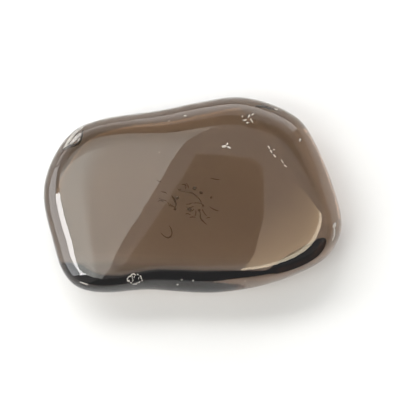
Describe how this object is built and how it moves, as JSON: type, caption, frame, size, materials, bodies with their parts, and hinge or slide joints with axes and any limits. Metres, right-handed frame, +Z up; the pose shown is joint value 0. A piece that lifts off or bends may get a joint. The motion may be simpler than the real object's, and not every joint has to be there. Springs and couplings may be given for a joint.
{
  "type": "tumbled smoky quartz stone",
  "caption": "Flat rounded pebble of clear brown smoky quartz, tumbled and polished all over, lying on its worn underside.",
  "frame": {"origin": "on the resting plane, under the middle of the stone's bounding box", "axes": "+X along the stone towards its broader end, +Y across it, +Z up through the broad top face"},
  "size_m": [0.028, 0.0184, 0.0066],
  "materials": {
    "smoky_quartz": "polished"
  },
  "bodies": {
    "root": {"smoky_quartz": "smoky_quartz"}
  },
  "joints": []
}
